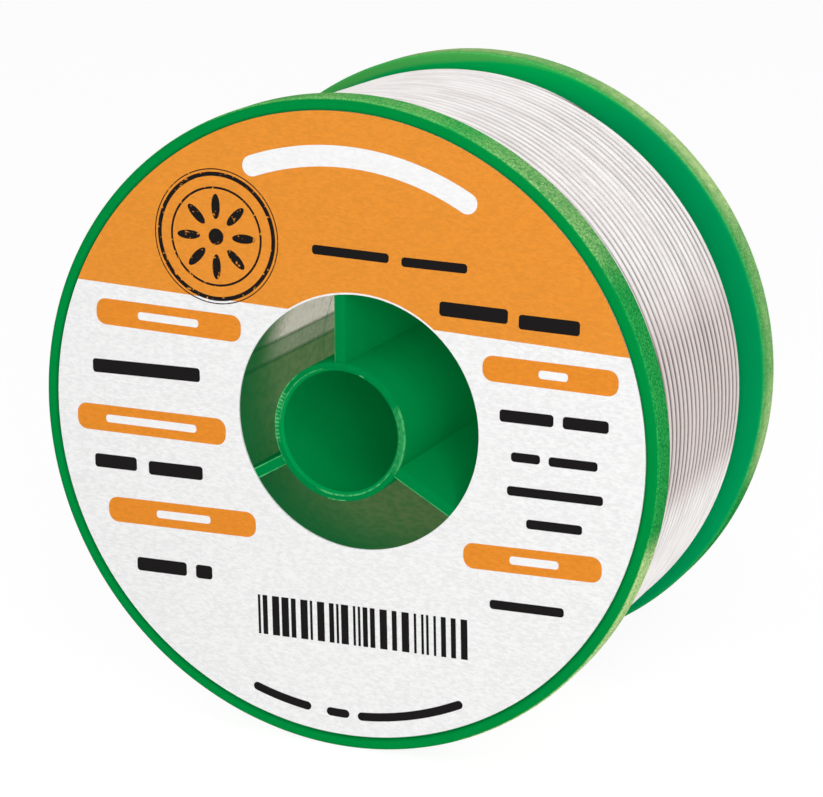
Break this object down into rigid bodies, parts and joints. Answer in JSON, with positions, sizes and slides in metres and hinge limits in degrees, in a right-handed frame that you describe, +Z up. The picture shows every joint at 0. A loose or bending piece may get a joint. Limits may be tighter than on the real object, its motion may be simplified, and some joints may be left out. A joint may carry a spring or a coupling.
{
  "type": "solder wire spool",
  "caption": "Flanged plastic spool with a ribbed hub, a central axle bore and a round label on one face, wound full with solder wire in even turns.",
  "frame": {"origin": "centre of the axle bore at the middle of the spool's width", "axes": "+Y along the axle bore, away from the labelled face; +Z up with one hub rib pointing up; +X to the right of the labelled face"},
  "size_m": [0.06, 0.0344, 0.06],
  "materials": {
    "spool_plastic": "satin, slightly translucent moulded plastic",
    "label_paper": "printed paper",
    "solder": "satin drawn tin alloy"
  },
  "bodies": {
    "root": {"front_flange": "spool_plastic", "rear_flange": "spool_plastic", "barrel": "spool_plastic", "hub_tube": "spool_plastic", "rib_top": "spool_plastic", "rib_left": "spool_plastic", "rib_right": "spool_plastic", "front_label": "label_paper", "solder_inner_layers": "solder", "solder_outer_layer": "solder"}
  },
  "joints": []
}
